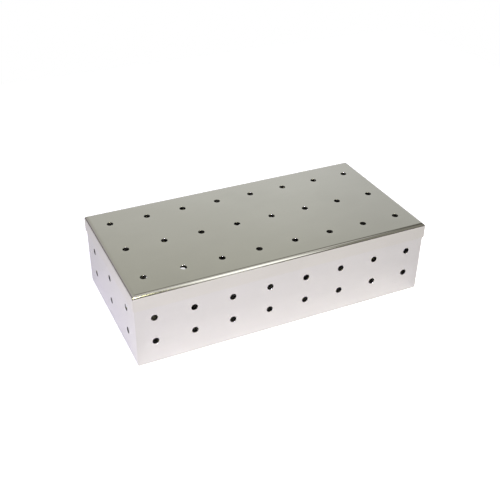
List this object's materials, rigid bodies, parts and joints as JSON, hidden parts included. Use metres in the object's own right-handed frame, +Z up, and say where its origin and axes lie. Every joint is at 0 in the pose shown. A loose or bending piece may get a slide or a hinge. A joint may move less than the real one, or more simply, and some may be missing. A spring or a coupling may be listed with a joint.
{
  "type": "perforated instrument case",
  "caption": "Oblong case of folded, perforated sheet steel: an open tray, and a shallow lid that lifts off and whose skirt overlaps the tray's rim.",
  "frame": {"origin": "centre of the tray's underside, on the surface that the case stands on", "axes": "+X along the length, +Y across the width towards the back, +Z up, the way the lid lifts"},
  "size_m": [0.2, 0.1, 0.0517],
  "materials": {
    "bright_steel": "bright rolled stainless steel, softly mirror-like, with a faint grain along the length"
  },
  "bodies": {
    "case_tray": {"tray": "bright_steel"},
    "case_lid": {"lid": "bright_steel"}
  },
  "joints": [
    {"name": "lid_lift", "type": "slide", "parent": "case_tray", "child": "case_lid", "axis": [0, 0, 1], "range_m": [0, 0.07]}
  ]
}
